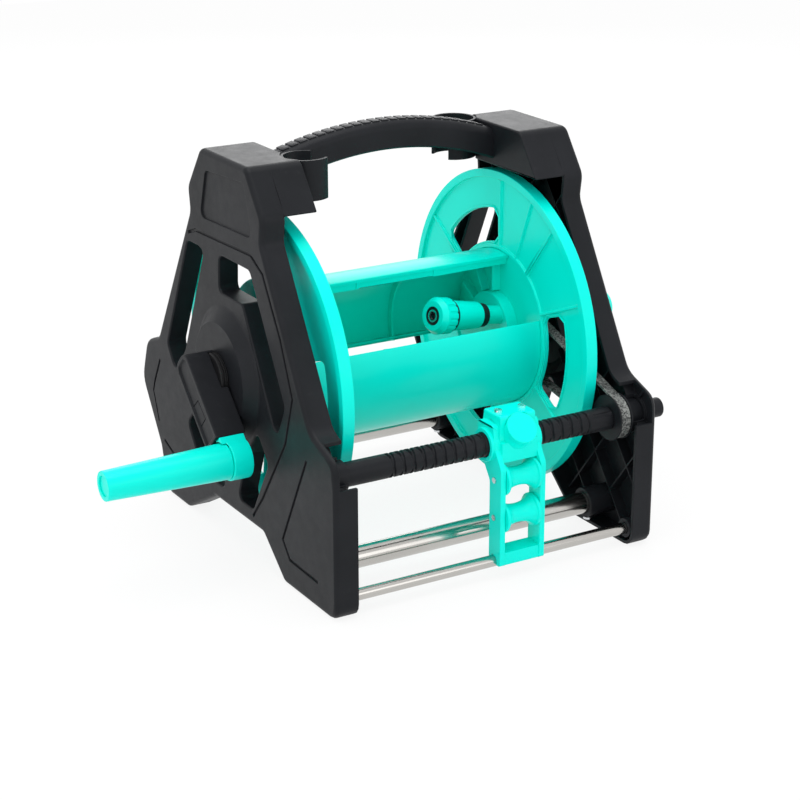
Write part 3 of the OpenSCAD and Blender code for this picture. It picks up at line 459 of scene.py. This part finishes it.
def strip(name, points, width, place, near, far):
    """A closed strip along points, between two levels that place(level, a, b) puts in space."""
    flat = [Vector(point) for point in points]
    ways = [(after - before).normalized() for before, after in zip(flat, flat[1:])]
    sides = [Vector((-way.y, way.x)) for way in ways]
    mitres = [
        (one + two) * (width / 2 / (1.0 + one.dot(two)))
        for one, two in zip(sides[:1] + sides, sides + sides[-1:])
    ]
    rim = [point + mitre for point, mitre in zip(flat, mitres)]
    rim += [point - mitre for point, mitre in reversed(list(zip(flat, mitres)))]
    return skin(name, [[place(level, p.x, p.y) for p in rim] for level in (near, far)])


def stations(*spans):
    """Places along a line, from spans of (start, end, step)."""
    places = []
    for start, end, step in spans:
        steps = max(1, round((end - start) / step))
        places += [start + (end - start) * i / steps for i in range(steps + 1)]
    return places


# CAD nodes with rounded edges


def joined(node):
    """A CAD node's mesh as a bmesh, its loose triangles joined and its flat faces made whole."""
    bm = bmesh.new()
    bm.from_mesh(frame["nodes"][node].data)
    bmesh.ops.remove_doubles(bm, verts=bm.verts, dist=2e-6)
    bmesh.ops.dissolve_limit(
        bm, angle_limit=math.radians(0.6), verts=bm.verts, edges=bm.edges, delimit=set()
    )
    return bm


def crisp(edge, crease=28.0):
    """Whether an edge is a real corner of the moulding, not a step round a curve."""
    return len(edge.link_faces) == 2 and edge.calc_face_angle(0.0) > math.radians(crease)


def softened(node, radius, segments, radii):
    """A CAD node's mesh with rounded edges; radii(bm) may give edges radii of their own."""
    bm = joined(node)
    weight = bm.edges.layers.float.new("bevel_weight_edge")
    own = radii(bm) if radii else {}
    widest = max([radius, *own.values()])
    for edge in bm.edges:
        if crisp(edge):
            edge[weight] = own.get(edge, radius) / widest
    item = placed(node + "_soft", baked(bm, node + "_soft"))
    bevel = rounded(item, widest, segments)
    bevel.limit_method = "WEIGHT"
    bevel.use_clamp_overlap = False
    return finished(item)


def soft_node(node, material, radius, segments=2, radii=None, cutters=()):
    """Replaces a CAD node with the same shape, its edges rounded as a moulding's are."""
    body = body_of(frame["nodes"][node])[0]
    mesh = softened(node, radius, segments, radii)
    if cutters:
        mesh = carved(node + "_cut", mesh, *cutters)
    piece(node + "_moulding", even_shading(mesh), material, body, [node])


def edge_loops(edges):
    """Sorts edges into sets that hang together."""
    loops = []
    while edges:
        loop, todo = set(), [edges.pop()]
        while todo:
            edge = todo.pop()
            loop.add(edge)
            near = {other for vert in edge.verts for other in vert.link_edges} & edges
            edges -= near
            todo += near
        loops.append(loop)
    return loops


def panel_radii(side):
    """Radii of a side panel's edges: widest round the outside, then round the windows."""
    through_depth = 2.5 * MM

    def span(loop):
        places = [vert.co.y for edge in loop for vert in edge.verts]
        return max(places) - min(places)

    def radii(bm):
        own = {}
        for plane_x, (wide, window, line) in ((PANEL_X, PANEL_EDGES), (HEAD_X, HEAD_EDGES)):
            plane = spot(side * plane_x, 0, 0)[0]
            loops = edge_loops({
                edge for edge in bm.edges
                if crisp(edge) and all(abs(vert.co.x - plane) < 0.02 * MM for vert in edge.verts)
            })
            widest = max(span(loop) for loop in loops)
            for loop in loops:
                deep = max(
                    abs(vert.co.x - plane)
                    for edge in loop for face in edge.link_faces for vert in face.verts
                )
                radius = window if deep > through_depth else line
                if span(loop) == widest:
                    radius = wide
                own.update((edge, radius * MM) for edge in loop)
        return own

    return radii


def flange_radii(bm):
    """A flange's openings have rounded corners."""
    own = {}
    for edge in bm.edges:
        one, two = (vert.co for vert in edge.verts)
        if crisp(edge, 50.0) and abs(one.x - two.x) > 0.95 * edge.calc_length() > 1.5 * MM:
            out = math.hypot(one.y, one.z - AXLE_Z * MM)
            if any(abs(out - ring * MM) < 0.15 * MM for ring in OPENING_RINGS):
                own[edge] = OPENING_CORNER * MM
    return own


def carriage_radii(bm):
    """The carriage's block round the lead screw has its long edges rounded more."""
    block_z = (SCREW_Z + 10.0) * MM
    return {
        edge: 2.0 * MM for edge in bm.edges
        if crisp(edge) and edge.calc_length() > 9.0 * MM
        and min(vert.co.z for vert in edge.verts) > block_z
    }


# Marks and carving


def rear_mark():
    """The cutter of the engraved line on the left panel's rear foot."""
    points = [(155.0, 103.0), (159.5, 92.0), (149.5, 65.0)]
    return strip("rear_mark", points, 2.4, spot, -PANEL_X - 1.0, 1.5 - PANEL_X)


def on_arm(x, out, across):
    """A place on the crank arm: along X, out from the axle along the arm, and across it."""
    c = math.sqrt(0.5)
    return spot(x, -(out + across) * c, AXLE_Z - (out - across) * c)


def arm_mark():
    """The cutter of the seam on the crank arm's outer face."""
    points = [(19.0, -9.6), (19.5, 2.6), (37.5, 3.6), (37.8, -9.4)]
    return strip("arm_mark", points, 0.9, on_arm, -195.0, -189.8)


def foot_bay():
    """The cutter that lowers the bar at the carriage's foot."""
    half_w, front, back, top = 16.9, -190.0, -158.0, 38.0
    section = (front, 23.0), (back, 24.5), (back, top), (front, top)
    return skin("carriage_foot_bay", [
        [spot(CARRIAGE_X + side * half_w, y, z) for y, z in section] for side in (-1, 1)
    ])


# Drum, crank and carriage


def opening_outline(middle):
    """Points round a flange's opening, a little outside it and with its corners cut off."""
    near, far = OPENING_RINGS[0] - 1.0, OPENING_RINGS[1] + 1.6
    near_half, far_half = 26.8, 26.2
    near_cut, far_cut = 7.0, 8.0
    corners = [(far, -far_half), (far, far_half), (near, near_half), (near, -near_half)]
    points = []
    for (r1, a1), (r2, a2) in zip(corners, corners[1:] + corners[:1]):
        steps = 14 if r1 == r2 else 4
        for i in range(steps + 1):
            t = i / steps
            radius, turn = r1 + (r2 - r1) * t, a1 + (a2 - a1) * t
            if r1 == r2:
                end = abs(a1) - math.degrees((far_cut if r1 == far else near_cut) / r1)
                turn = max(min(turn, end), -end)
            else:
                radius = max(min(radius, far - far_cut), near + near_cut)
            angle = math.radians(middle + turn)
            point = Vector((-radius * math.cos(angle), AXLE_Z + radius * math.sin(angle)))
            if not points or (point - points[-1]).length > 0.8:
                points.append(point)
    return points + [points[0].lerp(points[-1], 0.02)]


def opening_rims(side):
    """Low raised rims round a flange's three openings, on the face that meets the hose."""
    bm = bmesh.new()
    for middle in OPENING_ANGLES:
        rim = strip("opening_rim", opening_outline(middle), 1.6, spot,
                    side * (FLANGE_X - 1.1), side * (FLANGE_X + 0.3))
        bm.from_mesh(rim)
        bpy.data.meshes.remove(rim)
    item = placed("opening_rims", baked(bm, "opening_rims"))
    rounded(item, 0.35 * MM).angle_limit = math.radians(50.0)
    mesh = finished(item)
    shade(mesh)
    piece(("left" if side < 0 else "right") + "_opening_rims", mesh, teal, "drum")


def crank_collar():
    """The ribbed black ring between the left panel's hub and the crank arm."""
    profile = [(164.3, 12.1), (164.3, 20.4), (164.9, 21.0)]
    for x in (165.4, 167.5):
        profile += [(x, 21.0), (x + 0.3, 19.9), (x + 0.9, 19.9), (x + 1.2, 21.0)]
    profile += [(170.2, 21.0), (171.0, 20.2), (171.0, 12.1)]
    mesh = turned("collar_ribbed", 0.0, AXLE_Z, [(-x, r) for x, r in profile])
    piece("collar_ribbed", mesh, rubber, "drum", ["crank_collar"])


def sleeve_rings():
    """The collars of the carriage's sleeve, standing out round the lead screw on both sides."""
    profile = [(21.8, 10.5), (21.8, 14.4), (24.0, 14.4), (24.6, 13.8), (24.6, 11.0), (24.1, 10.5)]
    for side, name in ((-1, "sleeve_left"), (1, "sleeve_right")):
        ring = [(CARRIAGE_X + side * x, r) for x, r in profile]
        piece(name, turned(name, SCREW_Y, SCREW_Z, ring), teal, "carriage")


# Lead screw


def lead_screw():
    """The black lead screw: two crossed helical grooves, keyways at the pulley, plain journals."""
    lead, groove_w, groove_d, run_out = 9.5, 2.6, 1.5, 1.5
    groove_start, groove_end = -95.0, 99.0
    crossing_turn = math.radians(78.0)
    key_start, key_end, key_half, key_d = 103.0, 121.5, 9.0, 0.9
    body_r, around = 10.0, 96

    def depth(x, angle):
        """How deep the grooves and keyways are at a place on the screw's body."""
        cut = 0.0
        if groove_start <= x <= groove_end:
            for way in (-1.0, 1.0):
                place = (x - CARRIAGE_X - way * lead * (angle - crossing_turn) / math.tau) % lead
                off = min(place, lead - place) / (groove_w / 2)
                if off < 1.0:
                    cut = max(cut, groove_d * min(1.0, 1.6 * (1.0 - off * off)))
            cut *= min(1.0, (x - groove_start) / run_out, (groove_end - x) / run_out)
        if key_start <= x <= key_end:
            turn = (math.degrees(angle) - 45.0) % 90.0
            if min(turn, 90.0 - turn) < key_half:
                cut = max(cut, key_d * min(1.0, x - key_start))
        return cut

    profile = [(-149.6, 7.4), (-149.0, 8.0), (-133.6, 8.0), (-133.6, 9.5), (-133.1, body_r)]
    profile += [(x, body_r) for x in stations(
        (-132.0, -96.0, 12.0), (-95.5, 99.5, 0.4), (101.0, 103.0, 2.0), (103.5, 121.7, 4.0)
    )]
    profile += [(122.2, 9.5), (122.2, 8.0), (149.4, 8.0), (150.0, 7.4),
                (150.0, 6.0), (171.4, 6.0), (172.0, 5.4)]
    rings = []
    for x, radius in profile:
        ring = []
        for i in range(around):
            angle = math.tau * i / around
            r = radius - (depth(x, angle) if radius > 9.4 else 0.0)
            ring.append(spot(x, SCREW_Y - r * math.sin(angle), SCREW_Z + r * math.cos(angle)))
        rings.append(ring)
    mesh = skin("lead_screw_grooved", rings)
    shade(mesh, 30.0)
    piece("lead_screw_grooved", mesh, black, "screw", ["lead_screw"])


# Carry handle


def handle_channel():
    """The handle's arch: a crowned channel with an open underside."""
    top_r, under_r = HANDLE_R - 1.0, HANDLE_R - 42.0
    top_z = HANDLE_TOP_Z - HANDLE_R
    under_z = HANDLE_TOP_Z - HANDLE_H - under_r
    shoulder, wall, under_past, lip, crown = 8.0, 3.0, 2.0, 1.5, 0.35
    quarter = [math.radians(degrees) for degrees in range(0, 91, 10)]

    def section(x, half_w, r, top, low, lip, crown):
        """The channel's outline at x, from the left lip over the top to the right lip."""
        points = [(-half_w + lip, low), (-half_w, low + lip)]
        points += [(-half_w + r - r * math.cos(a), top - r + r * math.sin(a)) for a in quarter]
        points += [(0.0, top + crown)]
        mirrored = [(-y, z) for y, z in reversed(points[:-1])]
        return [spot(x, HANDLE_Y + y, z) for y, z in points + mirrored]

    def outer(x):
        top = top_z + math.sqrt(top_r ** 2 - x * x)
        low = under_z + math.sqrt(under_r ** 2 - x * x)
        return section(x, HANDLE_W / 2, shoulder, top, low, lip, crown)

    def inner(x):
        top = top_z + math.sqrt((top_r - wall) ** 2 - x * x)
        low = under_z + math.sqrt(under_r ** 2 - x * x) - under_past
        return section(x, HANDLE_W / 2 - wall, shoulder - wall, top, low, 0.0, 0.0)

    arch = skin("handle_outer", [outer(x) for x in stations((-105.0, 105.0, 3.0))])
    hollow = skin("handle_hollow", [inner(x) for x in stations((-93.0, 93.0, 3.0))])
    return carved("handle_channel", arch, hollow)


def carry_handle():
    """The arched handle with a row of raised grip blocks along its crown."""
    arch = handle_channel()
    shade(arch, 40.0)
    piece("handle_arch", arch, black, "frame", ["carry_handle"])
    middle_z, crown_r, each_side = HANDLE_TOP_Z - HANDLE_R, HANDLE_R - 1.5, 11
    path = []
    for i in range(-each_side, each_side + 1):
        turn = i * BLOCK_PITCH / HANDLE_R
        path.append(spot(HANDLE_R * math.sin(turn), HANDLE_Y, middle_z + crown_r * math.cos(turn)))
    blocks = blocks_along("handle_blocks", path, BLOCK_SIZE, 0.3, black)
    piece("handle_blocks", blocks, black, "frame")


def block_tree(name):
    """The node tree that sets blocks on a path's points, and its two inputs for the modifier."""
    tree = bpy.data.node_groups.new(name, "GeometryNodeTree")
    face = tree.interface
    face.new_socket("Geometry", in_out="INPUT", socket_type="NodeSocketGeometry")
    size = face.new_socket("Block size", in_out="INPUT", socket_type="NodeSocketVector")
    finish = face.new_socket("Finish", in_out="INPUT", socket_type="NodeSocketMaterial")
    face.new_socket("Geometry", in_out="OUTPUT", socket_type="NodeSocketGeometry")
    add, join = tree.nodes.new, tree.links.new

    def attribute(label):
        """A node that reads a vector attribute of the path's points."""
        node = add("GeometryNodeInputNamedAttribute")
        node.data_type = "FLOAT_VECTOR"
        node.inputs["Name"].default_value = label
        return node.outputs["Attribute"]

    enter, leave = add("NodeGroupInput"), add("NodeGroupOutput")
    block, points = add("GeometryNodeMeshCube"), add("GeometryNodeMeshToPoints")
    aim = add("FunctionNodeAxesToRotation")
    aim.primary_axis, aim.secondary_axis = "X", "Z"
    spread = add("GeometryNodeInstanceOnPoints")
    real, paint = add("GeometryNodeRealizeInstances"), add("GeometryNodeSetMaterial")
    join(enter.outputs["Geometry"], points.inputs["Mesh"])
    join(enter.outputs["Block size"], block.inputs["Size"])
    join(points.outputs["Points"], spread.inputs["Points"])
    join(block.outputs["Mesh"], spread.inputs["Instance"])
    join(attribute("run"), aim.inputs["Primary Axis"])
    join(attribute("up"), aim.inputs["Secondary Axis"])
    join(aim.outputs["Rotation"], spread.inputs["Rotation"])
    join(spread.outputs["Instances"], real.inputs["Geometry"])
    join(real.outputs["Geometry"], paint.inputs["Geometry"])
    join(enter.outputs["Finish"], paint.inputs["Material"])
    join(paint.outputs["Geometry"], leave.inputs["Geometry"])
    return tree, size.identifier, finish.identifier


def blocks_along(name, path, size, edge, material):
    """Small blocks set on the points of a path in the XZ plane, their length along it."""
    mesh = bpy.data.meshes.new(name + "_path")
    mesh.from_pydata(path, [], [])
    run = mesh.attributes.new("run", "FLOAT_VECTOR", "POINT")
    up = mesh.attributes.new("up", "FLOAT_VECTOR", "POINT")
    for i in range(len(path)):
        way = (Vector(path[min(i + 1, len(path) - 1)]) - Vector(path[max(i - 1, 0)])).normalized()
        run.data[i].vector = way
        up.data[i].vector = Vector((0.0, -1.0, 0.0)).cross(way)
    item = placed(name, mesh)
    blocks = item.modifiers.new("blocks", "NODES")
    blocks.node_group, size_input, finish_input = block_tree(name)
    blocks[size_input] = [value * MM for value in size]
    blocks[finish_input] = material
    rounded(item, edge * MM)
    result = finished(item)
    shade(result, 35.0)
    return result


# Stage


def pale_floor():
    """A floor that shows as white and keeps the reel's shadow."""
    bpy.ops.mesh.primitive_plane_add(size=6.0, location=(0.0, 0.0, -0.0004))
    floor = bpy.context.object
    floor.name = "floor"
    finish = Finish(
        "floor", Base_Color=(0.86, 0.86, 0.86, 1.0), Roughness=0.9, Specular_IOR_Level=0.0
    )
    white = finish.node("ShaderNodeEmission")
    painted = Value(finish, finish.surface.outputs["BSDF"])
    blend = finish.node(
        "ShaderNodeMixShader", {}, {"Fac": finish.seen_past_reel() * 0.88, 1: painted, 2: white}
    )
    finish.fill(finish.nodes["Material Output"].inputs["Surface"], blend)
    floor.data.materials.append(finish.material)


def white_world():
    """Even light on the reel; white where the camera, a reflection or a glass looks past it."""
    world = bpy.data.worlds.new("studio")
    bpy.context.scene.world = world
    shader = Shader(world)
    background = shader.nodes["Background"].inputs
    shader.fill(background["Color"], (1.0, 1.0, 1.0, 1.0))
    shader.fill(background["Strength"], shader.seen_past_reel() * 0.05 + 0.95)


# The reel

black = moulded_black("black plastic", 0.00006)
teal = glossy_teal("teal plastic")
stainless = polished_steel("stainless tube")
zinc = plated_steel("zinc plate", (0.62, 0.63, 0.65))
chrome = plated_steel("chrome plate", (0.8, 0.8, 0.82))
rubber = moulded_rubber("rubber")
fabric = belt_fabric("belt fabric")

# CAD nodes that only get rounded edges, with the radius
ROUNDED = {
    black: {
        "left_clip": 0.5, "right_clip": 0.5, "left_hub_bush": 0.5, "right_hub_bush": 0.5,
        "left_screw_bearing": 0.6, "right_screw_bearing": 0.6, "drive_spindle": 0.5,
        "water_spindle": 0.5, "drum_pulley": 0.3, "screw_pulley": 0.3, "screw_cap": 0.8,
    },
    teal: {
        "front_core": 0.5, "rear_core": 0.5, "outlet_manifold": 0.6, "grip_socket": 1.0,
        "grip": 0.8, "grip_plug": 0.4, "follower_cap": 0.6, "upper_roller": 0.8,
        "lower_roller": 0.8, "outlet_nut": 0.5, "outlet_body": 0.5, "inlet_nut": 0.5,
        "inlet_body": 0.5,
    },
}

# CAD nodes that keep their shape
PLAIN = {
    stainless: ["front_tube", "rear_tube", "guide_rod"],
    zinc: [
        "handle_screws", "clip_screws", "tube_screws", "core_screws", "spindle_screws",
        "pulley_screws", "crank_screw", "socket_screws", "grip_axle", "follower_pin",
        "roller_pins",
    ],
    chrome: ["cap_screws", "outlet_barb", "inlet_barb"],
    fabric: ["drive_belt"],
    rubber: [
        "outlet_gland", "outlet_seal", "outlet_collar", "inlet_gland", "inlet_seal",
        "inlet_collar",
    ],
}

soft_node("left_panel", black, 0.35 * MM, 4, panel_radii(-1), [rear_mark()])
soft_node("right_panel", black, 0.35 * MM, 4, panel_radii(1))
soft_node("crank_arm", black, 0.9 * MM, cutters=[arm_mark()])
soft_node("carriage", teal, 0.3 * MM, 2, carriage_radii, [foot_bay()])
soft_node("left_flange", teal, 0.8 * MM, 4, flange_radii)
soft_node("right_flange", teal, 0.8 * MM, 4, flange_radii)
crank_collar()
opening_rims(-1)
opening_rims(1)
sleeve_rings()
for material, nodes in ROUNDED.items():
    for node, radius in nodes.items():
        soft_node(node, material, radius * MM)
lead_screw()
carry_handle()
for material, nodes in PLAIN.items():
    for node in nodes:
        finish_node(node, material)

photo_camera()
softbox("overhead", (-0.2, -0.1, 1.9), (0.03, 0.0, 0.15), 1.5, 18.0)
softbox("left_fill", (-1.6, -0.9, 0.9), (0.03, 0.0, 0.15), 1.2, 3.2)
softbox("front_fill", (0.6, -2.0, 0.8), (0.03, 0.0, 0.15), 1.0, 3.5)
softbox("back_rim", (1.1, 1.9, 1.15), (0.03, 0.0, 0.25), 1.3, 11.0)
pale_floor()
white_world()
bpy.context.scene.view_settings.view_transform = "Standard"
